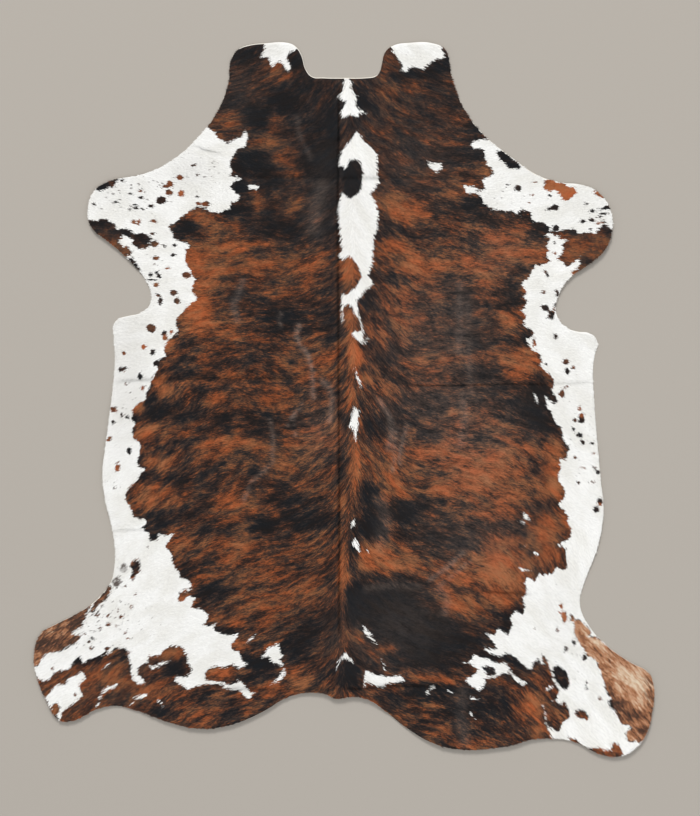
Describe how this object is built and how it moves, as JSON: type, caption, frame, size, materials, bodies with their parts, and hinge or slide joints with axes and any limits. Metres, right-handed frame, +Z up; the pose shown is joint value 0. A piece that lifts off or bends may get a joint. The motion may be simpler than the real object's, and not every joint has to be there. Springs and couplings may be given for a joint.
{
  "type": "cowhide rug",
  "caption": "Whole hair-on cowhide rug lying flat, brindle brown and black on white, with neck lobes, four leg flaps and a scalloped rump edge.",
  "frame": {"origin": "on the floor under the middle of the hide's bounding box, where the flat underside rests", "axes": "+Y from the rump towards the neck, +X towards the right side as seen from above with the neck away from the viewer, +Z up from the floor through the hair side"},
  "size_m": [1.9212, 2.2138, 0.0151],
  "materials": {
    "coat": "matte",
    "leather": "matte"
  },
  "bodies": {
    "root": {"hide": "coat"}
  },
  "joints": []
}
